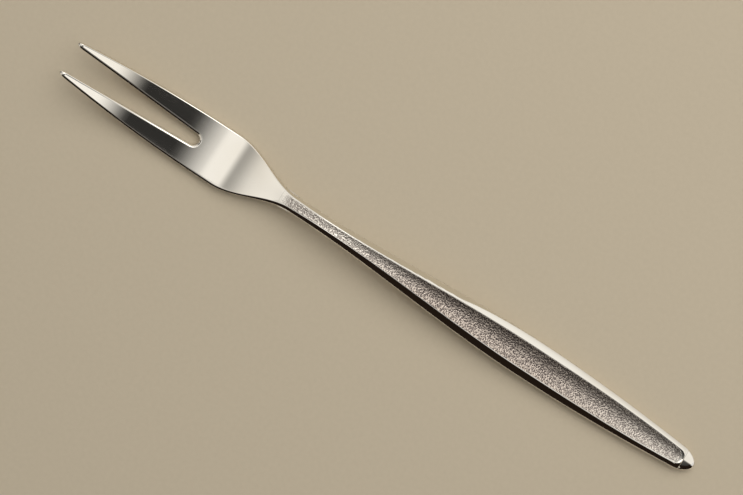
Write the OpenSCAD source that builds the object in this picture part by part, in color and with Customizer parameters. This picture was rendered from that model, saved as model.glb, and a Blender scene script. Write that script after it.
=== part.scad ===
// Two-tined meat fork with a hollow, trough-faced handle.
// Every station s is measured back along the fork from the tine points.
// The points face +X, the trough faces +Z, and the fork lies at z = 0 on its belly and its back.

/* [Head] */
// Length of the tines, points to crotch
tine_length = 36.3; // [32:0.1:44]
// Width across both tine points
point_spread = 9.2; // [8:0.1:10.5]
// Width of one tine at its point
point_width = 1.3; // [0.9:0.05:1.5]
// Thickness of a tine at its point
point_thickness = 1; // [0.8:0.05:1.4]
// Length over which a point is rounded off
point_round = 1.8; // [1:0.1:2.4]
// Gap between the tines where the crotch begins to round
crotch_gap = 2.9; // [2.2:0.1:3.8]
// Length from the crotch to the handle joint
palm_length = 23.7; // [21:0.1:26]
// Width of the palm at its widest
palm_width = 14.1; // [12:0.1:16]
// Thickness of the palm
palm_thickness = 2.2; // [1.8:0.05:2.8]
// Distance behind the crotch at which the palm is widest
palm_widest_at = 5.5; // [3.5:0.5:7.5]
// Distance behind the crotch at which the shoulders start to draw in
shoulder_at = 7.6; // [6.5:0.1:8.5]
// Length of the shoulders
shoulder_length = 19.5; // [16:0.5:21]
// Width of the softened edge round the outside of the head
edge_width = 0.45; // [0.3:0.05:0.6]
// Width of the softened edge along the gap between the tines
gap_edge = 0.65; // [0.5:0.05:1]

/* [Handle] */
// Length of the handle, joint to nose
handle_length = 118; // [105:1:130]
// Width of the neck
neck_width = 4.2; // [4:0.1:5.2]
// Length of the narrow neck behind the shoulders
neck_length = 3; // [2:0.1:5]
// Length over which the handle swells from the neck to its widest
swell_length = 63; // [60:1:72]
// Width of the handle at its widest
handle_width = 9.9; // [8.6:0.05:11.5]
// Width the sides are drawn in to at the end, before the nose is rounded
tail_width = 5.1; // [4:0.1:6.5]
// Length over which the nose is rounded
nose_length = 4.5; // [3.5:0.1:6]

/* [Trough] */
// Distance behind the start of the shoulders at which the bevels begin to widen
bevel_start_at = 8; // [6:0.5:11]
// Distance behind the neck at which the bevels reach their full width
bevel_full_at = 58; // [50:1:60]
// Distance behind the neck at which the trough reaches its full depth
trough_full_at = 39; // [30:1:48]
// Width of a bevel beside the trough at its widest
bevel_width = 1.78; // [1.4:0.02:1.9]
// Width of a bevel near the nose
bevel_width_tail = 1.17; // [0.9:0.01:1.4]
// Slope of a bevel beside the trough
bevel_angle = 26; // [18:1:32]
// Height of the rounded outer edge under a bevel
bevel_edge = 0.6; // [0.4:0.05:0.8]
// Slope of the trough floor at its rims
dish_angle = 22; // [15:1:25]
// Distance from the end of the trough to the nose
trough_end_at = 3; // [2.5:0.1:5]
// Radius of the round end of the trough
trough_end_radius = 1.8; // [1.2:0.1:2.4]

/* [Side profile] */
// Height of the tine points, measured under them
point_lift = 7; // [4:0.5:8]
// Distance behind the crotch at which the belly touches down
belly_at = 4; // [2:0.5:6]
// Height of the underside at the top of the arch
arch_height = 4; // [2:0.25:5]
// Distance behind the neck at which the arch is highest
arch_at = 13; // [8:1:20]
// Length of the flat back that the handle rests on, measured from the nose
rest_length = 28; // [22:1:40]
// Height of the rims above the seam at the neck
neck_rise = 1.35; // [1.25:0.05:1.7]
// Depth of the back below the seam at the neck
neck_drop = 1.6; // [1.45:0.05:2]
// Height of the rims above the seam where the handle is widest
handle_rise = 1.5; // [1.4:0.05:2]
// Depth of the back below the seam where the handle is widest
handle_drop = 2; // [1.7:0.05:2.4]
// Height of the rims above the seam at the end
tail_rise = 1.2; // [1.05:0.05:1.6]
// Depth of the back below the seam at the end
tail_drop = 1.7; // [1.4:0.05:2]
// Width of the rounding from the flat back to the sides
back_round = 1.6; // [1.2:0.05:1.9]

/* [Hollow handle] */
// Wall of the handle shells
wall = 0.5; // [0.4:0.05:0.55]
// Thickness of the solder in the joints
solder = 0.1; // [0.06:0.02:0.16]
// Metal left solid at the nose
nose_wall = 1.2; // [0.8:0.1:2]
// Length over which the hollow closes towards the nose
hollow_close = 3; // [2:0.5:5]
// Length of the tang inside the handle
tang_length = 40; // [25:1:60]
// Share of the tang's width lost to its taper
tang_taper = 0.3; // [0:0.05:0.5]
// Least thickness of the cement round the tang
cement_gap = 0.15; // [0.1:0.01:0.2]
// Clearance between the cement and what it fills
fit = 0.03; // [0.01:0.01:0.05]

/* [Hidden] */
// Names of the sub-parts, each drawn on its own by the module of that name
// The sub-part that is drawn

// Stations along the fork
crotch = tine_length;
crotch_radius = crotch_gap / 2;
slot_end = crotch - crotch_radius;
belly = crotch + belly_at;
palm_widest = crotch + palm_widest_at;
shoulder = crotch + shoulder_at;
shoulder_end = shoulder + shoulder_length;
bevel_start = shoulder + bevel_start_at;
joint = crotch + palm_length;
mouth = joint + solder;
swell = shoulder_end + neck_length;
arch_top = swell + arch_at;
bevel_full = swell + bevel_full_at;
trough_full = swell + trough_full_at;
widest = swell + swell_length;
overall = joint + handle_length;
nose = overall - nose_length;
rest = overall - rest_length;
trough_end = overall - trough_end_at;
trough_round = trough_end - trough_end_radius;
hollow_end = overall - nose_wall;
hollow_round = hollow_end - hollow_close;
tang_fit = max(joint, shoulder_end);
tang_end = joint + tang_length;

// Counts of steps in the outlines and along the pieces
edge_steps = 3;
face_steps = 3;
dish_steps = edge_steps + face_steps;
flank_steps = 5;
tang_steps = 5;
tine_steps = 14;
crotch_steps = 6;
palm_steps = 16;
arch_steps = 22;
rest_steps = 5;
end_steps = 5;
nose_steps = 6;
// Smallest share of a section left at a point or at the nose
blunt = 0.2;
// Largest shares of a tine's width taken by its outer edge and by its edge along the gap
edge_share = 0.3;
gap_share = 0.45;
// Largest share of a bevel's height taken by its rounded edge
knee_share = 0.4;
// Distance below which two corners are one
same = 0.00001;

// Smooth run from 0 to 1
function ease(t) =
    let (c = min(max(t, 0), 1))
    c * c * (3 - 2 * c);

// Smooth change from a to b between two stations
function change(a, b, s, from, to) = a + (b - a) * ease((s - from) / (to - from));

// Change from a to b that grows with the square of the way from one station to the other
function draw_in(a, b, s, from, to) = a + (b - a) * pow(min(max((s - from) / (to - from), 0), 1), 2);

// Quarter of an ellipse, 1 up to a station and 0 at another
function round_off(s, from, to) = sqrt(1 - pow(min(max((s - from) / (to - from), 0), 1), 2));

// Rounding of the tine points and of the nose
function point_share(s) = max(blunt, round_off(point_round - s, 0, point_round));
function nose_share(s) = max(blunt, round_off(s, nose, overall));

// Plan of one tine before its point is rounded
function tine_outer(s) = draw_in(palm_width, point_spread, -s, -palm_widest, 0) / 2;
function tine_inner(s) =
    let (point_gap = point_spread - 2 * point_width)
    s < slot_end
        ? (point_gap + (crotch_gap - point_gap) * s / slot_end) / 2
        : s < crotch ? crotch_radius * round_off(s, slot_end, crotch) : 0;
function tine_middle(s) = (tine_outer(s) + tine_inner(s)) / 2;
function tine_half(s) = (tine_outer(s) - tine_inner(s)) / 2 * point_share(s);

// Half of the gap, and half of the overall width, at a station
function gap_half(s) = s < crotch ? tine_middle(s) - tine_half(s) : 0;
function side_half(s) =
    s < shoulder_end
        ? change(palm_width, neck_width, s, shoulder, shoulder_end) / 2
        : s < widest
            ? change(neck_width, handle_width, s, swell, widest) / 2
            : draw_in(handle_width, tail_width, s, widest, overall) / 2;
function half_width(s) =
    s < crotch ? tine_middle(s) + tine_half(s)
    : s < palm_widest ? tine_outer(s)
    : side_half(s) * nose_share(s);

// Widths of the softened edges of the head, held to their shares of a slim tine
function edge_at(s) = min(edge_width, (half_width(s) - gap_half(s)) * edge_share);
function gap_edge_at(s) = min(gap_edge, (half_width(s) - gap_half(s)) * gap_share);

// Width of the bevel, half of the floor between the bevels, and depth of the trough
function bevel_at(s) =
    s < widest
        ? draw_in(bevel_width, edge_at(s), -s, -bevel_full, -bevel_start)
        : change(bevel_width, bevel_width_tail, s, widest, nose);
function floor_half(s) =
    (s < nose ? half_width(s) - bevel_at(s) : side_half(s) - bevel_at(s))
    * round_off(s, trough_round, trough_end);
function dish(s) =
    floor_half(s) * tan(dish_angle) / 2 * ease((s - bevel_start) / (trough_full - bevel_start));

// Heights above and below the seam, and width of the rounding at the back
function plate_half(s) = draw_in(palm_thickness, point_thickness, -s, -palm_widest, 0) / 2 * point_share(s);
function by_station(s, at_neck, at_widest, at_tail) =
    s < swell
        ? change(plate_half(s), at_neck, s, shoulder, swell)
        : s < widest
            ? change(at_neck, at_widest, s, swell, widest)
            : draw_in(at_widest, at_tail, s, widest, overall) * nose_share(s);
function rise(s) = by_station(s, neck_rise, handle_rise, tail_rise);
function drop(s) = by_station(s, neck_drop, handle_drop, tail_drop);
function back_half(s) =
    let (round_width = change(edge_at(s), back_round, s, bevel_start, swell))
    max(half_width(s) - round_width, half_width(s) * blunt);

// Height of the underside, and of the seam
function underside(s) =
    s < belly ? draw_in(0, point_lift, -s, -belly, 0)
    : s < arch_top ? change(0, arch_height, s, belly, arch_top)
    : change(arch_height, 0, s, arch_top, rest);
function full_drop(s) = s < nose ? drop(s) : drop(s) / nose_share(s);
function seam(s) = underside(s) + full_drop(s);

// Point of a cubic curve
function cubic(a, b, c, d, t) =
    a * pow(1 - t, 3) + 3 * b * t * pow(1 - t, 2) + 3 * c * pow(t, 2) * (1 - t) + d * pow(t, 3);

// Floor of the trough at a distance y from the middle
function floor_z(y, floor_w, top, depth) = top - depth * (1 - pow(floor_w > same ? y / floor_w : 1, 2));

// Bevel from the rim out and down to the seam, straight where it would otherwise hollow out
function bevel_line(half, floor_w, top, foot) =
    let (
        run = (half - floor_w) / 2,
        knee = max(min(bevel_edge, top * knee_share), foot),
        bend = max(top - run * tan(bevel_angle), (top + knee) / 2)
    )
    [for (i = [1 : flank_steps])
        cubic([floor_w, top], [floor_w + run, bend], [half, knee], [half, foot], i / flank_steps)];

// Rounding from the seam down and in to the flat back
function back_line(half, flat, depth, foot) =
    [for (i = [1 : flank_steps])
        let (a = 90 * i / flank_steps)
        [flat + (half - flat) * cos(a), -foot - (depth - foot) * sin(a)]];

// Trough and bevel from the middle out to the seam
function front_line(half, floor_w, top, depth, foot) = concat(
    [for (i = [0 : dish_steps])
        let (y = floor_w * i / dish_steps)
        [y, floor_z(y, floor_w, top, depth)]],
    bevel_line(half, floor_w, top, foot)
);

// A half outline placed at its station
function place(s, line) = [for (p = line) [overall / 2 - s, p[0], seam(s) + p[1]]];

// Reversed list
function turned(line) = [for (i = [len(line) - 1 : -1 : 0]) line[i]];

// Steps from one station to another, without the first
function steps(from, to, count) = [for (i = [1 : count]) from + (to - from) * i / count];

// Steps that crowd towards the far station, without the first
function crowded(from, to, count) = [for (i = [1 : count]) from + (to - from) * sin(90 * i / count)];

// Half outline of the head: gap edge, upper face, outer edge, back, gap edge
function head_row(s) =
    let (
        half = half_width(s),
        gap = gap_half(s),
        edge = gap_edge_at(s),
        floor_w = floor_half(s),
        top = rise(s),
        web = sin(90 * min(max((s - crotch) / gap_edge, 0), 1)),
        upper = concat(
            [for (i = [0 : edge_steps])
                let (
                    a = 90 * i / edge_steps,
                    y = gap + edge * (1 - cos(a)),
                    keep = 1 - (1 - sin(a)) * (1 - web)
                )
                [y, floor_z(y, floor_w, top, dish(s)) * keep]],
            [for (i = [1 : face_steps])
                let (y = gap + edge + (floor_w - gap - edge) * i / face_steps)
                [y, floor_z(y, floor_w, top, dish(s))]],
            bevel_line(half, floor_w, top, 0)
        ),
        flat = back_half(s),
        lower = concat(
            back_line(half, flat, drop(s), 0),
            [for (i = [face_steps - 1 : -1 : 0])
                [gap + edge + (flat - gap - edge) * i / face_steps, -drop(s)]],
            [for (i = [edge_steps - 1 : -1 : 0])
                let (
                    a = 90 * i / edge_steps,
                    keep = 1 - (1 - sin(a)) * (1 - web)
                )
                [gap + edge * (1 - cos(a)), -drop(s) * keep]]
        )
    )
    place(s, concat(upper, lower));

// Share of the hollow's height left at a station, and half of its width
function hollow_share(s) = round_off(s, hollow_round, hollow_end);
function hollow_half(s) = half_width(s) - (hollow_share(s) > 0 ? wall : 0);

// Half outlines of the hollow above and below the seam, drawn in by a clearance
function hollow_front(s, foot, less) =
    let (
        half = hollow_half(s) - less,
        share = hollow_share(s),
        top = max((rise(s) - wall - less) * share, foot)
    )
    front_line(half, floor_half(s) * half / half_width(s), top, dish(s) * share, foot);
function hollow_back(s, foot, less) =
    let (
        half = hollow_half(s) - less,
        depth = max((drop(s) - wall - less) * hollow_share(s), foot)
    )
    back_line(half, back_half(s) * half / half_width(s), depth, foot);

// Outer half outlines above and below the seam
function outer_front(s, foot) = front_line(half_width(s), floor_half(s), rise(s), dish(s), foot);
function outer_back(s, foot) = back_line(half_width(s), back_half(s), drop(s), foot);

// The flat back from its edge in to the middle
function flat_line(line, count) =
    let (end = line[len(line) - 1])
    [for (i = [count - 1 : -1 : 0]) [end[0] * i / count, end[1]]];
function with_flat(line, count) = concat(line, flat_line(line, count));

// Closed half outline of each shell
function front_row(s) = place(s, concat(
    outer_front(s, solder / 2),
    turned(hollow_front(s, solder / 2, 0))
));
function back_row(s) = place(s, concat(
    turned(with_flat(hollow_back(s, solder / 2, 0), 1)),
    [[hollow_half(s), -solder / 2], [half_width(s), -solder / 2]],
    with_flat(outer_back(s, solder / 2), 1)
));

// Closed half outline of the seam film with a slight bead inside, left open where it meets its other half
function film_row(s, inner, open) =
    let (t = solder / 2, half = half_width(s), bead = max(inner - fit / 2, 0))
    place(s, [[bead, t * open], [inner, t], [half, t], [half, -t], [inner, -t], [bead, -t * open]]);

// Whole half outlines of the handle and of its hollow
function outer_row(s) = place(s, concat(outer_front(s, 0), with_flat(outer_back(s, 0), 1)));
function hollow_row(s, less) = place(s, concat(
    hollow_front(s, 0, less),
    with_flat(hollow_back(s, 0, less), 1)
));

// Half outline of the tang, which is the hollow's at the neck less the cement, tapered towards its end
function tang_row(s, grow, count) =
    let (
        less = cement_gap - grow,
        line = concat(hollow_front(tang_fit, 0, less), with_flat(hollow_back(tang_fit, 0, less), count)),
        middle = (line[0][1] + line[len(line) - 1][1]) / 2,
        share = 1 - tang_taper * max(s - joint, 0) / tang_length
    )
    place(s, [for (p = line) [p[0] * share, middle + (p[1] - middle) * share]]);

// Stations of the head, tine points to joint
head_stations = concat(
    [0],
    turned([for (s = crowded(point_round, 0, edge_steps + 1)) if (s > same) s]),
    [point_round],
    steps(point_round, slot_end, tine_steps),
    crowded(slot_end, crotch, crotch_steps),
    crowded(crotch, crotch + gap_edge, edge_steps),
    steps(crotch + gap_edge, joint, palm_steps)
);

// Stations of the handle, mouth to nose
handle_stations = concat(
    [mouth],
    steps(mouth, rest, arch_steps),
    steps(rest, trough_round, rest_steps),
    crowded(trough_round, trough_end, end_steps),
    crowded(trough_end, overall, nose_steps)
);

// Solid mirrored about the middle, drawn through its half outlines
module mirrored_loft(rows, ring = false) {
    n = len(rows);
    m = len(rows[0]);
    right = [for (row = rows) each row];
    left = [for (p = right) [p[0], -p[1], p[2]]];
    corners = concat(right, left);
    skin = [for (i = [0 : ring ? n - 1 : n - 2], j = [0 : m - 2])
        let (a = i * m + j, b = ((i + 1) % n) * m + j)
        each [[a, b, b + 1], [a, b + 1, a + 1]]];
    ends = ring ? [] : [for (j = [0 : floor(m / 2) - 1])
        let (k = m - 1 - j, far = (n - 1) * m)
        each [
            [j, j + 1, k], [j + 1, k - 1, k],
            [far + k, far + j + 1, far + j], [far + k, far + k - 1, far + j + 1]
        ]];
    half = concat(skin, ends);
    both = concat(half, [for (f = half) [f[2] + n * m, f[1] + n * m, f[0] + n * m]]);
    function apart(i, j) = norm(corners[i] - corners[j]) > same;
    polyhedron(
        corners,
        [for (f = both) if (apart(f[0], f[1]) && apart(f[1], f[2]) && apart(f[2], f[0])) f]
    );
}

// Tines, palm, neck and the tang behind the neck
module fork_head() {
    color([0.82, 0.8, 0.77])
    mirrored_loft(concat(
        [for (s = head_stations) head_row(s)],
        [for (s = concat([joint], steps(joint, tang_end, tang_steps))) tang_row(s, 0, dish_steps)]
    ));
}

// Upper half of the handle, with the trough between its two bevels
module handle_front_shell() {
    color([0.55, 0.52, 0.48])
    mirrored_loft([for (s = handle_stations) front_row(s)]);
}

// Lower half of the handle, with the flat that it rests on
module handle_back_shell() {
    color([0.8, 0.78, 0.75])
    mirrored_loft([for (s = handle_stations) back_row(s)]);
}

// Film that joins the two shells along the sides and across the nose
module side_seam_solder() {
    sides = [for (s = handle_stations) if (hollow_share(s) > 0) s];
    tail = [for (s = handle_stations) if (hollow_share(s) <= 0) s];
    color([0.9, 0.88, 0.84])
    mirrored_loft(concat(
        [for (s = sides) film_row(s, hollow_half(s), 0)],
        [film_row(tail[0], 0, 0)],
        [for (s = tail) film_row(s, 0, 1)]
    ));
}

// Ring that joins the mouth of the shells to the shoulder of the head
module neck_joint_solder() {
    color([0.9, 0.88, 0.84])
    mirrored_loft([outer_row(joint), outer_row(mouth), hollow_row(mouth, 0), hollow_row(joint, 0)], true);
}

// Filling of the hollow, with a socket round the tang
module tang_cement() {
    socket = concat([mouth], steps(mouth, tang_end + fit, tang_steps));
    fill = [for (s = handle_stations) if (s < hollow_round) s];
    color([0.45, 0.35, 0.28])
    mirrored_loft(concat(
        [for (s = turned(socket)) tang_row(s, fit, 1)],
        [for (s = fill) hollow_row(s, fit)]
    ));
}

fork_head();
handle_front_shell();
handle_back_shell();
side_seam_solder();
neck_joint_solder();
tang_cement();
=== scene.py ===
"""Looks of a two-tined meat fork, in metres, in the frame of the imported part.

The head is polished silver. The handle is two soldered shells, and its upper face is a stippled,
darkened trough between two polished bevels. A station s is measured back from the tine points.
"""
import math

import bmesh
import bpy
from mathutils import Matrix, Vector, noise


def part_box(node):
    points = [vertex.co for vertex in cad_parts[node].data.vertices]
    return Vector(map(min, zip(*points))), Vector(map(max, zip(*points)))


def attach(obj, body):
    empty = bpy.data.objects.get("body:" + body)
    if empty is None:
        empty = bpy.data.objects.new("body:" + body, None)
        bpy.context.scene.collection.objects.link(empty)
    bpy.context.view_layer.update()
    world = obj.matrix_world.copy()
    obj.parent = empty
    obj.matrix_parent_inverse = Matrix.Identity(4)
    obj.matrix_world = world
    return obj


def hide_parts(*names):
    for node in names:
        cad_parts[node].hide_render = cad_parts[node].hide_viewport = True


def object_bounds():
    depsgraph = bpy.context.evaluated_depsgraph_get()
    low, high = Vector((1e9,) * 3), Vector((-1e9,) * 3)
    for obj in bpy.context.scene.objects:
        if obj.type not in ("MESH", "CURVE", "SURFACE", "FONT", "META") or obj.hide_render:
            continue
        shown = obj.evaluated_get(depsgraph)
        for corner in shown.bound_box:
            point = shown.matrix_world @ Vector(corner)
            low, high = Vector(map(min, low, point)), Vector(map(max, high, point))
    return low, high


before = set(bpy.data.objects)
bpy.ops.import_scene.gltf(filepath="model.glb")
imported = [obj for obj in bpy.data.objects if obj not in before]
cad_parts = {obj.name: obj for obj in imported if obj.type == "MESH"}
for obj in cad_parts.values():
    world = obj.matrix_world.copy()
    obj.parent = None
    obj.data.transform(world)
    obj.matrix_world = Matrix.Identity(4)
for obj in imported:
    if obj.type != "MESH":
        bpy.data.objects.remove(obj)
cad_low, cad_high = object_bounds()

MM = 0.001

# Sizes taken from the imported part
head_low, head_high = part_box("fork_head")
ring_low, ring_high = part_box("neck_joint_solder")
POINT_X = cad_high.x
OVERALL = cad_high.x - cad_low.x
PALM_WIDTH = head_high.y - head_low.y
JOINT = POINT_X - ring_high.x
MOUTH = POINT_X - ring_low.x
TANG_END = POINT_X - head_low.x

# Head
TINE_LENGTH = 36.3 * MM
POINT_SPREAD = 9.2 * MM
POINT_WIDTH = 1.3 * MM
POINT_THICKNESS = 1.0 * MM
POINT_ROUND = 1.8 * MM
CROTCH_GAP = 2.9 * MM
PALM_THICKNESS = 2.2 * MM
EDGE_WIDTH = 0.45 * MM
EDGE_SHARE = 0.3
EDGE_FALL = 0.65
EDGE_WALL = 0.3
GAP_EDGE = 0.65 * MM
GAP_SHARE = 0.45
GAP_FALL = 0.5

# Handle
NECK_WIDTH = 4.2 * MM
HANDLE_WIDTH = 9.9 * MM
TAIL_WIDTH = 5.1 * MM
BEVEL_WIDTH = 1.78 * MM
BEVEL_WIDTH_TAIL = 1.17 * MM
BEVEL_ANGLE = math.radians(26)
BEVEL_EDGE = 0.6 * MM
KNEE_SHARE = 0.4
DISH_ANGLE = math.radians(22)
BACK_ROUND = 1.6 * MM
BACK_LEAST = 0.2

# Side profile
POINT_LIFT = 7.0 * MM
ARCH_HEIGHT = 4.0 * MM
NECK_RISE, HANDLE_RISE, TAIL_RISE = 1.35 * MM, 1.5 * MM, 1.2 * MM
NECK_DROP, HANDLE_DROP, TAIL_DROP = 1.6 * MM, 2.0 * MM, 1.7 * MM

# Shells, solder and cement
WALL = 0.5 * MM
FOOT = (ring_high.x - ring_low.x) / 2
HOLLOW_CLOSE = 3.0 * MM
CEMENT_GAP = 0.15 * MM
TANG_TAPER = 0.3

# Stations
CROTCH = TINE_LENGTH
CROTCH_RADIUS = CROTCH_GAP / 2
SLOT_END = CROTCH - CROTCH_RADIUS
BELLY = CROTCH + 4.0 * MM
PALM_WIDEST = CROTCH + 5.5 * MM
SHOULDER = CROTCH + 7.6 * MM
BEVEL_START = SHOULDER + 8.0 * MM
SHOULDER_END = SHOULDER + 19.5 * MM
SWELL = SHOULDER_END + 3.0 * MM
ARCH_TOP = SWELL + 13.0 * MM
BEVEL_FULL = SWELL + 58.0 * MM
TROUGH_FULL = SWELL + 39.0 * MM
WIDEST = SWELL + 63.0 * MM
REST = OVERALL - 28.0 * MM
NOSE = OVERALL - 4.5 * MM
TROUGH_END = OVERALL - 3.0 * MM
TROUGH_ROUND = TROUGH_END - 1.8 * MM
HOLLOW_END = OVERALL - 1.2 * MM
HOLLOW_ROUND = HOLLOW_END - HOLLOW_CLOSE
TANG_FIT = max(JOINT, SHOULDER_END)

# Grain pressed into the trough: its size, height, middle level and unevenness, and the margin
# that stays plain along the rims
GRAIN = 0.4 * MM
GRAIN_HEIGHT = 0.03 * MM
GRAIN_LEVEL = 0.45
GRAIN_UNEVEN = 0.3
GRAIN_FINER = 2.1
GRAIN_MARGIN = 0.15 * MM
# Station where the grain begins, and the length over which it sets in
STIPPLE_START = 59.0 * MM
STIPPLE_FADE = 5.5 * MM
# Smooth crescent left between the grain and the trough's round end
CRESCENT = 0.9 * MM
RIM_ROUND = 0.08 * MM
# Stretches over which the rubbing at the neck, made brighter there as a painted highlight, fades out and
# at the nose sets in
NECK_WEAR_AND_HIGHLIGHT = (80.0 * MM, 102.0 * MM)
NOSE_WEAR = (136.0 * MM, OVERALL)
# Share of the grain's height that the rubbing takes
RUBBED_FLAT = 0.3
# Narrow strip of the face beside each edge, which keeps the face flat up to it
RIM_HOLD = 0.05 * MM

# Columns of an outline: gap edge; face, rim and bevel; back rounding and flat back
EDGE_STEPS = 7
SHOWN_STEPS = (22, 4, 12)
HIDDEN_STEPS = (3, 1, 4)
BACK_STEPS = (14, 8)
HIDDEN_BACK_STEPS = (7, 2)
# Rows along the pieces
POINT_ROWS = 14
TINE_ROWS = 110
CROTCH_ROWS = 22
WEB_ROWS = 8
PALM_ROWS = 90
TANG_ROWS = 6
TROUGH_ROWS = 720
END_ROWS = 26
NOSE_ROWS = 26
BACK_ROWS = 240

# Points closer than this are one, edges sharper than this stay sharp, and half a grid's first size
MERGE = 1e-7
SHARP = math.radians(50)
GRID_HALF = 0.5


def ease(t):
    """Smooth run from 0 to 1."""
    t = min(max(t, 0.0), 1.0)
    return t * t * (3.0 - 2.0 * t)


def change(a, b, s, start, end):
    """Smooth change from a to b between two stations."""
    return a + (b - a) * ease((s - start) / (end - start))


def draw_in(a, b, s, start, end):
    """Change from a to b that grows with the square of the way."""
    return a + (b - a) * min(max((s - start) / (end - start), 0.0), 1.0) ** 2


def round_off(s, start, end):
    """Quarter of an ellipse, 1 up to a station and 0 at another."""
    return math.sqrt(1.0 - min(max((s - start) / (end - start), 0.0), 1.0) ** 2)


def point_share(s):
    return round_off(POINT_ROUND - s, 0.0, POINT_ROUND)


def nose_share(s):
    return round_off(s, NOSE, OVERALL)


def tine_outer(s):
    return draw_in(PALM_WIDTH, POINT_SPREAD, -s, -PALM_WIDEST, 0.0) / 2


def tine_inner(s):
    point_gap = POINT_SPREAD - 2 * POINT_WIDTH
    if s < SLOT_END:
        return (point_gap + (CROTCH_GAP - point_gap) * s / SLOT_END) / 2
    return CROTCH_RADIUS * round_off(s, SLOT_END, CROTCH)


def tine_sides(s):
    """Inner and outer side of a tine, rounded off at its point."""
    middle = (tine_outer(s) + tine_inner(s)) / 2
    half = (tine_outer(s) - tine_inner(s)) / 2 * point_share(s)
    return middle - half, middle + half


def gap_half(s):
    return tine_sides(s)[0] if s < CROTCH else 0.0


def side_half(s):
    """Half of the width behind the palm, before the nose is rounded."""
    if s < SHOULDER_END:
        return change(PALM_WIDTH, NECK_WIDTH, s, SHOULDER, SHOULDER_END) / 2
    if s < WIDEST:
        return change(NECK_WIDTH, HANDLE_WIDTH, s, SWELL, WIDEST) / 2
    return draw_in(HANDLE_WIDTH, TAIL_WIDTH, s, WIDEST, OVERALL) / 2


def half_width(s):
    if s < CROTCH:
        return tine_sides(s)[1]
    if s < PALM_WIDEST:
        return tine_outer(s)
    return side_half(s) * nose_share(s)


def edge_at(s):
    return min(EDGE_WIDTH, (half_width(s) - gap_half(s)) * EDGE_SHARE)


def gap_edge_at(s):
    return min(GAP_EDGE, (half_width(s) - gap_half(s)) * GAP_SHARE)


def gap_edge_end(s):
    """Where the rounded edge of the gap meets the flat face, measured from the middle."""
    if s < SLOT_END:
        return gap_half(s) + gap_edge_at(s)
    reach = (CROTCH_RADIUS + GAP_EDGE) ** 2 - (s - SLOT_END) ** 2
    return math.sqrt(max(reach, RIM_HOLD ** 2))


def gap_edge_points(s):
    """Distances from the middle and falls of the rounded edge round the gap."""
    gap, end, width = gap_half(s), gap_edge_end(s), max(gap_edge_at(s), MERGE)
    points = []
    for step in range(EDGE_STEPS):
        y = gap + (end - gap) * step / EDGE_STEPS
        away = y - gap if s < SLOT_END else math.hypot(s - SLOT_END, y) - CROTCH_RADIUS
        points.append((y, width * GAP_FALL * (1.0 - min(away / width, 1.0)) ** 2))
    return points


def bevel_at(s):
    if s < WIDEST:
        return draw_in(BEVEL_WIDTH, edge_at(s), -s, -BEVEL_FULL, -BEVEL_START)
    return change(BEVEL_WIDTH, BEVEL_WIDTH_TAIL, s, WIDEST, NOSE)


def floor_half(s):
    """Half of the width between the bevels."""
    side = half_width(s) if s < NOSE else side_half(s)
    return (side - bevel_at(s)) * round_off(s, TROUGH_ROUND, TROUGH_END)


def dish(s):
    """Depth of the trough."""
    begun = ease((s - BEVEL_START) / (TROUGH_FULL - BEVEL_START))
    return floor_half(s) * math.tan(DISH_ANGLE) / 2 * begun


def plate_half(s):
    thickness = draw_in(PALM_THICKNESS, POINT_THICKNESS, -s, -PALM_WIDEST, 0.0)
    return thickness / 2 * point_share(s)


def by_station(s, at_neck, at_widest, at_tail):
    if s < SWELL:
        return change(plate_half(s), at_neck, s, SHOULDER, SWELL)
    if s < WIDEST:
        return change(at_neck, at_widest, s, SWELL, WIDEST)
    return draw_in(at_widest, at_tail, s, WIDEST, OVERALL)


def rise(s):
    return by_station(s, NECK_RISE, HANDLE_RISE, TAIL_RISE) * nose_share(s)


def full_drop(s):
    return by_station(s, NECK_DROP, HANDLE_DROP, TAIL_DROP)


def drop(s):
    return full_drop(s) * nose_share(s)


def back_half(s):
    """Half of the flat on the back."""
    rounding = change(edge_at(s), BACK_ROUND, s, BEVEL_START, SWELL)
    return max(half_width(s) - rounding, half_width(s) * BACK_LEAST)


def underside(s):
    if s < BELLY:
        return draw_in(0.0, POINT_LIFT, -s, -BELLY, 0.0)
    if s < ARCH_TOP:
        return change(0.0, ARCH_HEIGHT, s, BELLY, ARCH_TOP)
    return change(ARCH_HEIGHT, 0.0, s, ARCH_TOP, REST)


def seam(s):
    return underside(s) + full_drop(s) * (nose_share(s) if s < NOSE else 1.0)


def hollow_share(s):
    return round_off(s, HOLLOW_ROUND, HOLLOW_END)


def hollow_half(s):
    return half_width(s) - (WALL if hollow_share(s) > 0 else 0.0)


def floor_z(y, floor, top, depth):
    """Height of the trough's floor at a distance y from the middle."""
    return top - depth * (1.0 - ((y / floor) ** 2 if floor > MERGE else 1.0))


def cubic(a, b, c, d, t):
    u = 1.0 - t
    return a * u ** 3 + b * (3 * t * u ** 2) + c * (3 * t ** 2 * u) + d * t ** 3


def spaced(start, end, count):
    """Equal steps from one value to another, without the first."""
    return [start + (end - start) * i / count for i in range(1, count + 1)]


def crowded(start, end, count):
    """Steps that crowd towards the far value, without the first."""
    return [start + (end - start) * math.sin(math.pi / 2 * i / count) for i in range(1, count + 1)]


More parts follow.
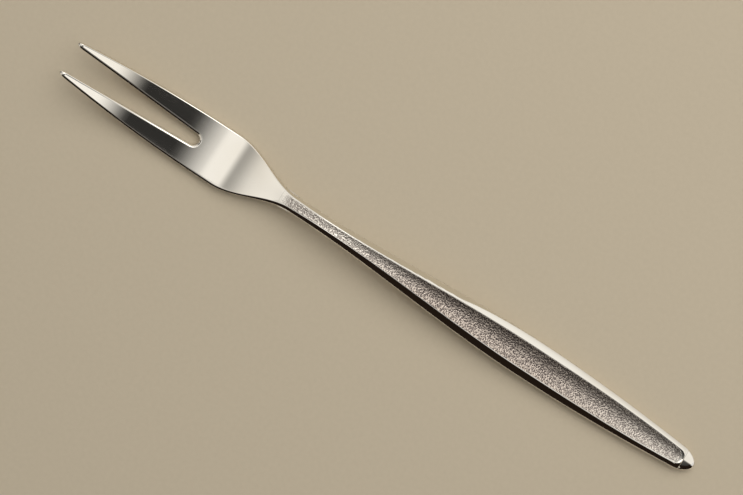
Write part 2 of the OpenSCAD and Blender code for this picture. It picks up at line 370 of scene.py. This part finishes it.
def face_to_seam(half, floor, top, depth, foot, start, steps):
    """Half outline of an upper face: floor from start out, rim, bevel, side down to the seam."""
    face_steps, rim_steps, bevel_steps = steps
    top = max(top, foot)
    rim = min(RIM_ROUND, max(floor - start, 0.0) / 2)
    run = (half - floor) / 2
    knee = max(min(BEVEL_EDGE, top * KNEE_SHARE), top - (half - floor) * EDGE_FALL, foot)
    wall = max(knee - run * EDGE_WALL, foot)
    bend = max(top - run * math.tan(BEVEL_ANGLE), (top + knee) / 2)
    corner = Vector((floor, top))
    bevel = (corner, Vector((floor + run, bend)), Vector((half, knee)), Vector((half, wall)))
    begin = min(rim / (3 * run), 0.5) if run > MERGE else 0.0
    hold = min(RIM_HOLD, max(floor - rim - start, 0.0) / 4)
    between = spaced(start + hold, floor - rim - hold, face_steps)
    face_ys = [start, start + hold] + between + [floor - rim]
    face = [Vector((y, floor_z(y, floor, top, depth))) for y in face_ys]
    leave = cubic(*bevel, begin)
    rounding = [cubic(face[-1], face[-1].lerp(corner, 2 / 3), leave.lerp(corner, 2 / 3), leave, t)
                for t in spaced(0.0, 1.0, rim_steps)]
    side = [cubic(*bevel, t) for t in spaced(begin, 1.0, bevel_steps)]
    return face + rounding + side + [Vector((half, foot))]


def seam_to_back(half, flat, depth, foot, end, steps):
    """Half outline of a back: rounded from the seam down, then flat in to its end."""
    round_steps, flat_steps = steps
    depth = max(depth, foot)
    rounding = [Vector((flat + (half - flat) * math.cos(a), -foot - (depth - foot) * math.sin(a)))
                for a in spaced(0.0, math.pi / 2, round_steps)]
    return rounding + [Vector((y, -depth)) for y in spaced(flat, end, flat_steps)]


def place(s, outline):
    return [Vector((POINT_X - s, p.x, seam(s) + p.y)) for p in outline]


def ring_outline(half, inner, start, floor, top, depth, low, flat, is_open):
    """Half outline of the head: gap edge, face from start out, outer edge, back, lower gap edge."""
    rise_edge = [Vector((y, max(floor_z(y, floor, top, depth) - fall, 0.0))) for y, fall in inner]
    under_edge = [Vector((y, min(fall - low, 0.0))) for y, fall in reversed(inner)]
    face = face_to_seam(half, floor, top, depth, 0.0, start, SHOWN_STEPS)
    back = seam_to_back(half, flat, low, 0.0, start, BACK_STEPS)
    side = Vector((inner[0][0], 0.0))
    begin, end = (side, side) if is_open else (rise_edge[0], under_edge[-1])
    return [begin] + rise_edge + face + back + under_edge + [end]


def head_row(s):
    outline = ring_outline(half_width(s), gap_edge_points(s), gap_edge_end(s), floor_half(s),
                           rise(s), dish(s), drop(s), back_half(s), s <= CROTCH)
    return place(s, outline)


def tang_row(s):
    """The hollow's outline at the neck, less the cement, drawn in towards the tang's end."""
    half = hollow_half(TANG_FIT) - CEMENT_GAP
    fit = half / half_width(TANG_FIT)
    start = half * BACK_LEAST
    inner = [(start * step / EDGE_STEPS, 0.0) for step in range(EDGE_STEPS)]
    outline = ring_outline(half, inner, start, floor_half(TANG_FIT) * fit,
                           rise(TANG_FIT) - WALL - CEMENT_GAP, dish(TANG_FIT),
                           drop(TANG_FIT) - WALL - CEMENT_GAP, back_half(TANG_FIT) * fit, False)
    middle = Vector((0.0, (outline[0].y + outline[-1].y) / 2))
    share = 1.0 - TANG_TAPER * (s - JOINT) / (TANG_END - JOINT)
    return place(s, [middle + (p - middle) * share for p in outline])


def outer_front(s, foot, steps):
    return face_to_seam(half_width(s), floor_half(s), rise(s), dish(s), foot, 0.0, steps)


def outer_back(s, foot, steps):
    return seam_to_back(half_width(s), back_half(s), drop(s), foot, 0.0, steps)


def hollow_front(s, foot, steps):
    share = hollow_share(s)
    fit = hollow_half(s) / max(half_width(s), MERGE)
    top = (rise(s) - WALL) * share
    return face_to_seam(hollow_half(s), floor_half(s) * fit, top, dish(s) * share, foot, 0.0, steps)


def hollow_back(s, foot, steps):
    fit = hollow_half(s) / max(half_width(s), MERGE)
    depth = (drop(s) - WALL) * hollow_share(s)
    return seam_to_back(hollow_half(s), back_half(s) * fit, depth, foot, 0.0, steps)


def front_shell_row(s):
    outer = outer_front(s, FOOT, SHOWN_STEPS)
    return place(s, outer + hollow_front(s, FOOT, HIDDEN_STEPS)[::-1])


def back_shell_row(s):
    land = [Vector((hollow_half(s), -FOOT)), Vector((half_width(s), -FOOT))]
    inner = hollow_back(s, FOOT, HIDDEN_BACK_STEPS)[::-1]
    return place(s, inner + land + outer_back(s, FOOT, BACK_STEPS))


def joint_rows():
    """Outlines round the ring of solder between the head and the shells, back to the first."""
    outer = [place(s, outer_front(s, 0.0, SHOWN_STEPS) + outer_back(s, 0.0, BACK_STEPS))
             for s in (JOINT, MOUTH)]
    inner = [place(s, hollow_front(s, 0.0, SHOWN_STEPS) + hollow_back(s, 0.0, BACK_STEPS))
             for s in (MOUTH, JOINT)]
    return outer + inner + outer[:1]


def head_stations():
    point = [POINT_ROUND * (1 - math.cos(math.pi / 2 * i / POINT_ROWS)) for i in range(POINT_ROWS + 1)]
    return (point + spaced(POINT_ROUND, SLOT_END, TINE_ROWS)
            + crowded(SLOT_END, CROTCH, CROTCH_ROWS)
            + crowded(CROTCH, CROTCH + GAP_EDGE, WEB_ROWS)
            + spaced(CROTCH + GAP_EDGE, JOINT, PALM_ROWS))


def handle_stations(rows):
    return ([MOUTH] + spaced(MOUTH, TROUGH_ROUND, rows)
            + crowded(TROUGH_ROUND, TROUGH_END, END_ROWS)
            + crowded(TROUGH_END, OVERALL, NOSE_ROWS))


def grain(at):
    """Height of the punched grain at a place, from about -0.5 to 0.5."""
    flat = Vector((at.x, at.y, 0.0)) / GRAIN
    nearest = noise.voronoi(flat)[0][0]
    return GRAIN_LEVEL - nearest + GRAIN_UNEVEN * noise.noise(flat * GRAIN_FINER)


def stipple_at(s, y):
    """How far the grain has set in: 0 on the rims and the neck, 1 in the trough."""
    margin = ease((floor_half(s + CRESCENT) - y - RIM_ROUND) / GRAIN_MARGIN)
    return margin * ease((s - STIPPLE_START) / STIPPLE_FADE)


def punch_grain(mesh):
    """Presses the grain into the trough's floor and notes where it is."""
    mark = mesh.verts.layers.float.new("stipple")
    for vert in mesh.verts:
        s, y = POINT_X - vert.co.x, abs(vert.co.y)
        floor = floor_half(s)
        if y < floor and vert.co.z > seam(s) + floor_z(y, floor, rise(s), dish(s)) - WALL / 2:
            vert[mark] = stipple_at(s, y)
            vert.co.z += GRAIN_HEIGHT * vert[mark] * grain(vert.co)


def grid_through(mesh, rows):
    """A grid of faces through rows of points; gives each vertex with its row and column."""
    last_row, last_column = len(rows) - 1, len(rows[0]) - 1
    grid = bmesh.ops.create_grid(mesh, x_segments=last_column, y_segments=last_row, size=GRID_HALF)
    placed = []
    for vert in grid["verts"]:
        row = round((vert.co.y + GRID_HALF) * last_row)
        column = round((vert.co.x + GRID_HALF) * last_column)
        vert.co = rows[row][column]
        placed.append((vert, row, column))
    return placed


def skin(name, rows, material, node, finish=None):
    """A mirrored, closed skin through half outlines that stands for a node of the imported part."""
    mesh = bmesh.new()
    grid_through(mesh, rows)
    bmesh.ops.mirror(mesh, geom=mesh.verts[:] + mesh.edges[:] + mesh.faces[:],
                     matrix=Matrix.Identity(4), merge_dist=MERGE, axis="Y")
    bmesh.ops.remove_doubles(mesh, verts=mesh.verts, dist=MERGE)
    middle = [face for face in mesh.faces if all(abs(vert.co.y) < MERGE for vert in face.verts)]
    bmesh.ops.delete(mesh, geom=middle, context="FACES")
    bmesh.ops.holes_fill(mesh, edges=[e for e in mesh.edges if e.is_boundary], sides=0)
    bmesh.ops.recalc_face_normals(mesh, faces=mesh.faces)
    if finish:
        finish(mesh)
    for face in mesh.faces:
        face.smooth = True
    data = bpy.data.meshes.new(name)
    mesh.to_mesh(data)
    mesh.free()
    data.set_sharp_from_angle(angle=SHARP)
    data.materials.append(material)
    piece = bpy.data.objects.new(name, data)
    bpy.context.scene.collection.objects.link(piece)
    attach(piece, "root")
    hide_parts(node)


# Finishes

SILVER = (0.93, 0.905, 0.865, 1.0)
SILVER_WARM = (0.80, 0.735, 0.63, 1.0)
GRAIN_DARK = (0.08, 0.062, 0.066, 1.0)
GRAIN_LIGHT = (0.93, 0.82, 0.745, 1.0)
# Worn pits and tops: real rubbing, lightened further as a painted highlight where the neck wear lies
WORN_DARK_AND_HIGHLIGHT = (0.34, 0.30, 0.285, 1.0)
WORN_LIGHT_AND_HIGHLIGHT = (1.0, 0.95, 0.89, 1.0)
SOLDER_PALE = (0.89, 0.865, 0.82, 1.0)
SOLDER_DULL = (0.70, 0.67, 0.62, 1.0)
CEMENT_DARK = (0.10, 0.065, 0.045, 1.0)
CEMENT_LIGHT = (0.26, 0.18, 0.12, 1.0)

# Each pattern has a scale and a detail, and a range of its values that is spread over what it sets.
# A relief has a strength and a depth.
# Hand polish: patches of tarnish, and haze and hairlines that are drawn out along the fork
TARNISH_SCALE, TARNISH_DETAIL = 42.0, 5.0
TARNISH_RANGE, TARNISH_SHARE = (0.5, 0.75), (0.0, 0.4)
HAZE_SCALE, HAZE_DETAIL = (60.0, 260.0, 260.0), 6.0
HAZE_RANGE, HAZE_ROUGHNESS = (0.3, 0.75), (0.01, 0.04)
HAIRLINE_SCALE, HAIRLINE_DETAIL = (90.0, 5200.0, 5200.0), 2.0
HAIRLINE_RANGE, HAIRLINE_HEIGHT = (0.3, 0.7), (0.0, 0.02)
HAIRLINE_RELIEF = (0.25, 0.02 * MM)
# Trough: punched pits, dark and rough in the middle and rubbed bright on the ridges between them
STIPPLE_RANGE = (0.2, 0.8)
PIT_PITCH = 0.34 * MM
PIT_RANGE = (0.25, 0.8)
PIT_COLOUR_RANGE, PIT_COLOUR = (0.1, 0.9), (0.04, 0.9)
PIT_ROUGH_RANGE, PIT_ROUGHNESS = (0.3, 0.7), (0.30, 0.18)
PIT_RELIEF = (0.9, 0.055 * MM)
RUBBED_LEVEL = 0.5
SOLDER_SCALE, SOLDER_DETAIL = 900.0, 5.0
SOLDER_RANGE, SOLDER_ROUGHNESS = (0.35, 0.7), (0.08, 0.2)
SOLDER_RELIEF = (0.2, 0.02 * MM)
CEMENT_SCALE, CEMENT_DETAIL = 700.0, 8.0
CEMENT_RANGE, CEMENT_ROUGHNESS = (0.3, 0.7), (0.75, 0.95)
CEMENT_RELIEF = (0.6, 0.1 * MM)
PAPER_SCALE, PAPER_DETAIL = 900.0, 6.0
PAPER_ROUGHNESS, PAPER_SPECULAR = 0.9, 0.2
UNIT = (0.0, 1.0)
# Sockets of a mix node: the two colours and the mixed colour, and the two values
COLOUR_A, COLOUR_B, COLOUR_OUT = 6, 7, 2
VALUE_A, VALUE_B = 2, 3


def new_material(name):
    """A material with its tree, its shader and the place on the piece."""
    material = bpy.data.materials.new(name)
    material.use_nodes = True
    tree = material.node_tree
    at = put(tree, "ShaderNodeTexCoord").outputs["Object"]
    return material, tree, tree.nodes["Principled BSDF"], at


def put(tree, kind, settings=None, **inputs):
    """A node with its settings, and its sockets set or linked."""
    node = tree.nodes.new(kind)
    for key, value in (settings or {}).items():
        setattr(node, key, value)
    for key, value in inputs.items():
        plug(tree, node.inputs[key.replace("_", " ")], value)
    return node


def plug(tree, socket, value):
    if isinstance(value, bpy.types.NodeSocket):
        tree.links.new(value, socket)
    else:
        socket.default_value = value


def blend_colour(tree, factor, a, b):
    node = put(tree, "ShaderNodeMix", {"data_type": "RGBA"})
    plug(tree, node.inputs[0], factor)
    plug(tree, node.inputs[COLOUR_A], a)
    plug(tree, node.inputs[COLOUR_B], b)
    return node.outputs[COLOUR_OUT]


def blend_value(tree, factor, a, b):
    node = put(tree, "ShaderNodeMix", {"data_type": "FLOAT"})
    plug(tree, node.inputs[0], factor)
    plug(tree, node.inputs[VALUE_A], a)
    plug(tree, node.inputs[VALUE_B], b)
    return node.outputs[0]


def combine(tree, operation, a, b):
    node = put(tree, "ShaderNodeMath", {"operation": operation})
    plug(tree, node.inputs[0], a)
    plug(tree, node.inputs[1], b)
    return node.outputs["Value"]


def spread(tree, value, ends, to=UNIT):
    """Runs from one value to another between two ends, and stays there beyond them."""
    node = put(tree, "ShaderNodeMapRange", Value=value,
               From_Min=ends[0], From_Max=ends[1], To_Min=to[0], To_Max=to[1])
    return node.outputs["Result"]


def cloudy(tree, at, scale, detail):
    return put(tree, "ShaderNodeTexNoise", Vector=at, Scale=scale, Detail=detail).outputs["Fac"]


def drawn_out(tree, at, scale, detail):
    """Clouds with a scale of their own in each direction."""
    stretched = put(tree, "ShaderNodeMapping", Vector=at, Scale=scale).outputs["Vector"]
    return cloudy(tree, stretched, 1.0, detail)


def dotted(tree, at, pitch):
    """0 in the middle of each pit to 1 on the ridges between them."""
    pits = put(tree, "ShaderNodeTexVoronoi", Vector=at, Scale=1.0 / pitch)
    return spread(tree, pits.outputs["Distance"], PIT_RANGE)


def polish(tree, at):
    """Colour, roughness and height of hand-polished silver with fine hairlines and faint tarnish."""
    patches = spread(tree, cloudy(tree, at, TARNISH_SCALE, TARNISH_DETAIL), TARNISH_RANGE, TARNISH_SHARE)
    colour = blend_colour(tree, patches, SILVER, SILVER_WARM)
    haze = spread(tree, drawn_out(tree, at, HAZE_SCALE, HAZE_DETAIL), HAZE_RANGE, HAZE_ROUGHNESS)
    lines = drawn_out(tree, at, HAIRLINE_SCALE, HAIRLINE_DETAIL)
    return colour, haze, spread(tree, lines, HAIRLINE_RANGE, HAIRLINE_HEIGHT)


def dress(tree, shader, colour, roughness, height, relief):
    """Plugs a colour, a roughness and a height with its relief into a shader."""
    strength, depth = relief
    bump = put(tree, "ShaderNodeBump", Strength=strength, Distance=depth, Height=height)
    plug(tree, shader.inputs["Base Color"], colour)
    plug(tree, shader.inputs["Roughness"], roughness)
    plug(tree, shader.inputs["Normal"], bump.outputs["Normal"])


def polished_silver():
    material, tree, shader, at = new_material("polished_silver")
    colour, haze, lines = polish(tree, at)
    dress(tree, shader, colour, haze, lines, HAIRLINE_RELIEF)
    shader.inputs["Metallic"].default_value = 1.0
    return material


def struck_silver():
    """Polished bevels round a trough whose pits are dark and whose ridges are rubbed bright, with
    lightened wear at the neck that is partly a painted highlight.
    """
    material, tree, shader, at = new_material("struck_silver")
    colour, haze, lines = polish(tree, at)
    mark = put(tree, "ShaderNodeAttribute", {"attribute_name": "stipple"}).outputs["Fac"]
    in_trough = spread(tree, mark, STIPPLE_RANGE)
    fine = dotted(tree, at, PIT_PITCH)
    along = put(tree, "ShaderNodeSeparateXYZ", Vector=at).outputs["X"]
    # Wear is real rubbing at the neck and the nose; at the neck its lighter colours also stand in for a
    # painted highlight
    neck_wear_and_highlight = spread(tree, along, (POINT_X - NECK_WEAR_AND_HIGHLIGHT[1], POINT_X - NECK_WEAR_AND_HIGHLIGHT[0]))
    nose_wear = spread(tree, along, (POINT_X - NOSE_WEAR[0], POINT_X - NOSE_WEAR[1]))
    wear_and_highlight = combine(tree, "MAXIMUM", neck_wear_and_highlight, nose_wear)
    pits = blend_colour(tree, wear_and_highlight, GRAIN_DARK, WORN_DARK_AND_HIGHLIGHT)
    tops = blend_colour(tree, wear_and_highlight, GRAIN_LIGHT, WORN_LIGHT_AND_HIGHLIGHT)
    grain_colour = blend_colour(tree, spread(tree, fine, PIT_COLOUR_RANGE, PIT_COLOUR), pits, tops)
    grain_rough = spread(tree, fine, PIT_ROUGH_RANGE, PIT_ROUGHNESS)
    rubbed = spread(tree, wear_and_highlight, UNIT, (0.0, RUBBED_FLAT))
    grain_height = blend_value(tree, rubbed, fine, RUBBED_LEVEL)
    dress(tree, shader, blend_colour(tree, in_trough, colour, grain_colour),
          blend_value(tree, in_trough, haze, grain_rough),
          blend_value(tree, in_trough, lines, grain_height), PIT_RELIEF)
    shader.inputs["Metallic"].default_value = 1.0
    return material


def solder():
    """Silver solder, filed flush, a little duller than the silver beside it."""
    material, tree, shader, at = new_material("solder_film")
    dull = spread(tree, cloudy(tree, at, SOLDER_SCALE, SOLDER_DETAIL), SOLDER_RANGE)
    dress(tree, shader, blend_colour(tree, dull, SOLDER_PALE, SOLDER_DULL),
          spread(tree, dull, UNIT, SOLDER_ROUGHNESS), dull, SOLDER_RELIEF)
    shader.inputs["Metallic"].default_value = 1.0
    return material


def cement():
    """Dark, grainy filling cement."""
    material, tree, shader, at = new_material("filling_cement")
    lumps = cloudy(tree, at, CEMENT_SCALE, CEMENT_DETAIL)
    dress(tree, shader, blend_colour(tree, lumps, CEMENT_DARK, CEMENT_LIGHT),
          spread(tree, lumps, CEMENT_RANGE, CEMENT_ROUGHNESS), lumps, CEMENT_RELIEF)
    return material


def floor_paper():
    """Plain pale paper."""
    material, tree, shader, at = new_material("floor_paper")
    fibre = cloudy(tree, at, PAPER_SCALE, PAPER_DETAIL)
    plug(tree, shader.inputs["Base Color"], blend_colour(tree, fibre, FLOOR_SHADE, FLOOR_PALE))
    shader.inputs["Roughness"].default_value = PAPER_ROUGHNESS
    shader.inputs["Specular IOR Level"].default_value = PAPER_SPECULAR
    return material


def card_light():
    """A card that shines in the colours of its corners."""
    material = bpy.data.materials.new("card_light")
    material.use_nodes = True
    tree = material.node_tree
    tree.nodes.clear()
    colour = put(tree, "ShaderNodeAttribute", {"attribute_name": "shine"}).outputs["Color"]
    shine = put(tree, "ShaderNodeEmission", Color=colour, Strength=1.0)
    out = put(tree, "ShaderNodeOutputMaterial")
    plug(tree, out.inputs["Surface"], shine.outputs["Emission"])
    return material


# Pieces

silver = polished_silver()
struck = struck_silver()
film = solder()

tang_stations = [JOINT] + spaced(JOINT, TANG_END, TANG_ROWS)
head_rows = [head_row(s) for s in head_stations()] + [tang_row(s) for s in tang_stations]
skin("forged_head", head_rows, silver, "fork_head")
skin("trough_shell", [front_shell_row(s) for s in handle_stations(TROUGH_ROWS)], struck,
     "handle_front_shell", punch_grain)
skin("back_shell", [back_shell_row(s) for s in handle_stations(BACK_ROWS)], silver,
     "handle_back_shell")
skin("neck_solder_ring", joint_rows(), film, "neck_joint_solder")

for name, material in (("side_seam_solder", film), ("tang_cement", cement())):
    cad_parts[name].data.materials.clear()
    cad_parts[name].data.materials.append(material)

# Studio: floor, cards that the polished metal mirrors, lamp and world

FLOOR_PALE = (0.66, 0.57, 0.43, 1.0)
FLOOR_SHADE = (0.61, 0.525, 0.39, 1.0)
FLOOR_HALF = 4.0
FLOOR_CLEAR = 0.02 * MM


def sheet_of(name, rows, material, colours=None):
    """A sheet through rows of points, with the colours that it shines in at them."""
    mesh = bmesh.new()
    shine = mesh.verts.layers.float_color.new("shine") if colours else None
    for vert, row, column in grid_through(mesh, rows):
        if colours:
            vert[shine] = (*colours[row][column], 1.0)
    data = bpy.data.meshes.new(name)
    mesh.to_mesh(data)
    mesh.free()
    data.materials.append(material)
    sheet = bpy.data.objects.new(name, data)
    bpy.context.scene.collection.objects.link(sheet)
    return sheet


card_shine = card_light()


def card(name, rows, colours):
    """A card that only mirrors in the metal."""
    sheet = sheet_of(name, rows, card_shine, colours)
    sheet.visible_camera = False
    sheet.visible_diffuse = False
    sheet.visible_shadow = False


# Box of cards round the fork
CEILING = 0.6
WALL_AT = 0.46
END_AT = 0.45
REACH = 1.0
STAND_OFF = 0.01
DAYLIGHT = (1.0, 0.965, 0.89)
CREAM = (0.93, 0.90, 0.83)
SHADED = (0.62, 0.58, 0.50)
BACKDROP = (0.46, 0.39, 0.28)
UMBER = (0.025, 0.0155, 0.0105)
DARK = (0.014, 0.009, 0.006)
SOFT_STEPS = 8


def soft_ceiling(name, across, along):
    """A card on the ceiling, with stops of place and brightness across and along the fork."""
    levels = []
    for (x, shade), (next_x, next_shade) in zip(along, along[1:]):
        for level in [x] + spaced(x, next_x, SOFT_STEPS)[:-1]:
            levels.append((level, change(shade, next_shade, level, x, next_x)))
    levels.append(along[-1])
    rows = [[(x, y, CEILING) for x, _ in levels] for y, _ in across]
    shines = [[tuple(share * shade * tone for tone in DAYLIGHT) for _, shade in levels]
              for _, share in across]
    card(name, rows, shines)


def side_wall(name, y, z_ends, x_ends, colours):
    """A standing card along the fork, with the x of its ends and a colour at each height."""
    rows = [[(x, y, z) for x in ends] for z, ends in zip(z_ends, x_ends)]
    card(name, rows, [(colour, colour) for colour in colours])


def end_wall(name, x, half, z_ends, colour):
    """A standing card across the fork, as wide as twice its half."""
    card(name, [[(x, -half, z), (x, half, z)] for z in z_ends], [(colour, colour)] * 2)


floor_level = cad_low.z - FLOOR_CLEAR
floor_ends = (-FLOOR_HALF, FLOOR_HALF)
sheet_of("floor", [[(x, y, floor_level) for x in floor_ends] for y in floor_ends], floor_paper())

# Bright side, with a low backdrop beside the front of the fork
BACKDROP_TOP = 0.325
BACKDROP_FOOT_X, BACKDROP_TOP_X = -0.125, -0.090
LOW_WALL = (0.0, BACKDROP_TOP)
side_wall("backdrop_card", -WALL_AT, LOW_WALL,
          ((BACKDROP_FOOT_X, REACH), (BACKDROP_TOP_X, REACH)), (BACKDROP,) * 2)
side_wall("low_bright_card", -WALL_AT, LOW_WALL,
          ((-REACH, BACKDROP_FOOT_X), (-REACH, BACKDROP_TOP_X)), (SHADED, CREAM))
side_wall("bright_wall_card", -WALL_AT, (BACKDROP_TOP, CEILING), ((-REACH, REACH),) * 2, (CREAM,) * 2)

# Dark side, pale beyond the tines, with a pale panel beside the nose
DARK_ENDS = (-2.5, 0.25)
PANEL_FOOT = 0.32
PANEL_ENDS = (-0.405, -0.26)
FULL_WALL = (0.0, CEILING)
side_wall("dark_wall_card", WALL_AT, FULL_WALL, (DARK_ENDS,) * 2, (DARK,) * 2)
side_wall("pale_wall_card", WALL_AT, FULL_WALL, ((DARK_ENDS[1], REACH),) * 2, (SHADED,) * 2)
side_wall("pale_panel_card", WALL_AT - STAND_OFF, (PANEL_FOOT, CEILING), (PANEL_ENDS,) * 2, (SHADED,) * 2)

# End before the tines, pale above a dark foot, with a dark flag in the middle
END_FOOT = 0.085
FLAG_FOOT = 0.20
FLAG_HALF = 0.15
end_wall("pale_end_card", END_AT, WALL_AT, (END_FOOT, CEILING), SHADED)
end_wall("dark_end_card", END_AT, WALL_AT, (0.0, END_FOOT), UMBER)
end_wall("dark_flag_card", END_AT - STAND_OFF, FLAG_HALF, (FLAG_FOOT, CEILING), UMBER)

# Ceiling: soft lights over the neck and the nose on the bright side, dim on the dark side, and
# between them a strip over the head, pale before the tines, dark over them and pale behind
STRIP = 0.016
HALFWAY = 0.20
BRIGHT_ACROSS = ((-WALL_AT, 1.0), (-HALFWAY, 1.0), (-STRIP, 0.75))
BRIGHT_ALONG = ((-REACH, 0.90), (-0.24, 0.90), (-0.13, 0.34), (-0.03, 0.74), (0.05, 2.0),
                (0.14, 2.0), (0.20, 0.72), (0.30, 0.90), (REACH, 0.90))
DARK_ACROSS = ((STRIP, 1.0), (HALFWAY, 0.45), (WALL_AT, 0.12))
DARK_ALONG = ((-REACH, 0.30), (-0.36, 0.30), (-0.24, 1.00), (-0.13, 0.44), (-0.03, 0.24), (0.05, 0.26),
              (0.14, 0.50), (0.20, 0.75), (0.30, 0.90), (REACH, 0.90))
STRIP_ACROSS = ((-STRIP, 1.0), (STRIP, 1.0))
STRIP_ALONG = ((-REACH, 0.40), (-0.20, 0.40), (-0.17, 1.0), (-0.09, 1.0), (-0.03, 0.03), (0.05, 0.03),
               (0.13, 0.95), (0.19, 0.95), (0.235, 0.40), (0.33, 0.93), (REACH, 0.93))
soft_ceiling("bright_ceiling_card", BRIGHT_ACROSS, BRIGHT_ALONG)
soft_ceiling("dark_ceiling_card", DARK_ACROSS, DARK_ALONG)
soft_ceiling("strip_card", STRIP_ACROSS, STRIP_ALONG)

# One large soft lamp
LAMP_AT = Vector((-0.10, -0.42, 0.73))
LAMP_SIZE = 1.15
LAMP_POWER = 6.1
LAMP_COLOUR = (1.0, 0.98, 0.95)

lamp_data = bpy.data.lights.new("key_lamp", "AREA")
lamp_data.shape = "DISK"
lamp_data.size = LAMP_SIZE
lamp_data.energy = LAMP_POWER
lamp_data.color = LAMP_COLOUR
lamp = bpy.data.objects.new("key_lamp", lamp_data)
lamp.location = LAMP_AT
lamp.rotation_mode = "QUATERNION"
lamp.rotation_quaternion = (-LAMP_AT).to_track_quat("-Z", "Y")
lamp.visible_camera = False
lamp.visible_glossy = False
bpy.context.scene.collection.objects.link(lamp)

# World: dim as light, pale where it is seen
WORLD_COLOUR = (0.90, 0.89, 0.87, 1.0)
WORLD_FILL = 0.24
WORLD_SEEN = 0.85

world = bpy.data.worlds.new("studio")
world.use_nodes = True
bpy.context.scene.world = world
sky = world.node_tree
sky.nodes.clear()
path = put(sky, "ShaderNodeLightPath")
seen = combine(sky, "ADD", path.outputs["Is Camera Ray"], path.outputs["Is Glossy Ray"])
seen_or_through = combine(sky, "ADD", seen, path.outputs["Is Transmission Ray"])
strength = blend_value(sky, seen_or_through, WORLD_FILL, WORLD_SEEN)
backdrop = put(sky, "ShaderNodeBackground", Color=WORLD_COLOUR, Strength=strength)
plug(sky, put(sky, "ShaderNodeOutputWorld").inputs["Surface"], backdrop.outputs["Background"])

# Camera: straight above, with the fork along the photograph's diagonal

PHOTO_WIDTH, PHOTO_HEIGHT = 743, 495
POINTS_PIXEL = Vector((68.9, 57.0))
NOSE_PIXEL = Vector((693.4, 466.2))
CAMERA_HEIGHT = 0.5
SENSOR = 36.0

centre = Vector((PHOTO_WIDTH, PHOTO_HEIGHT)) / 2
turn = (NOSE_PIXEL - POINTS_PIXEL).normalized()
across = Vector((-turn.y, turn.x))
points_run = (POINTS_PIXEL - centre).dot(turn) * (CAMERA_HEIGHT - seam(0.0))
nose_run = (NOSE_PIXEL - centre).dot(turn) * (CAMERA_HEIGHT - seam(OVERALL))
lens_pixels = (nose_run - points_run) / OVERALL
camera_x = POINT_X - OVERALL / 2 + (points_run + nose_run) / 2 / lens_pixels
camera_y = -(POINTS_PIXEL - centre).dot(across) * CAMERA_HEIGHT / lens_pixels

camera_data = bpy.data.cameras.new("camera")
camera_data.sensor_width = SENSOR
camera_data.lens = SENSOR * lens_pixels / PHOTO_WIDTH
camera = bpy.data.objects.new("camera", camera_data)
image_right = Vector((-turn.x, -turn.y, 0.0))
image_up = Vector((turn.y, -turn.x, 0.0))
turned = Matrix((image_right, image_up, Vector((0, 0, 1)))).transposed().to_4x4()
camera.matrix_world = Matrix.Translation((camera_x, camera_y, CAMERA_HEIGHT)) @ turned
bpy.context.scene.collection.objects.link(camera)
bpy.context.scene.camera = camera

bpy.context.scene.view_settings.view_transform = "Standard"
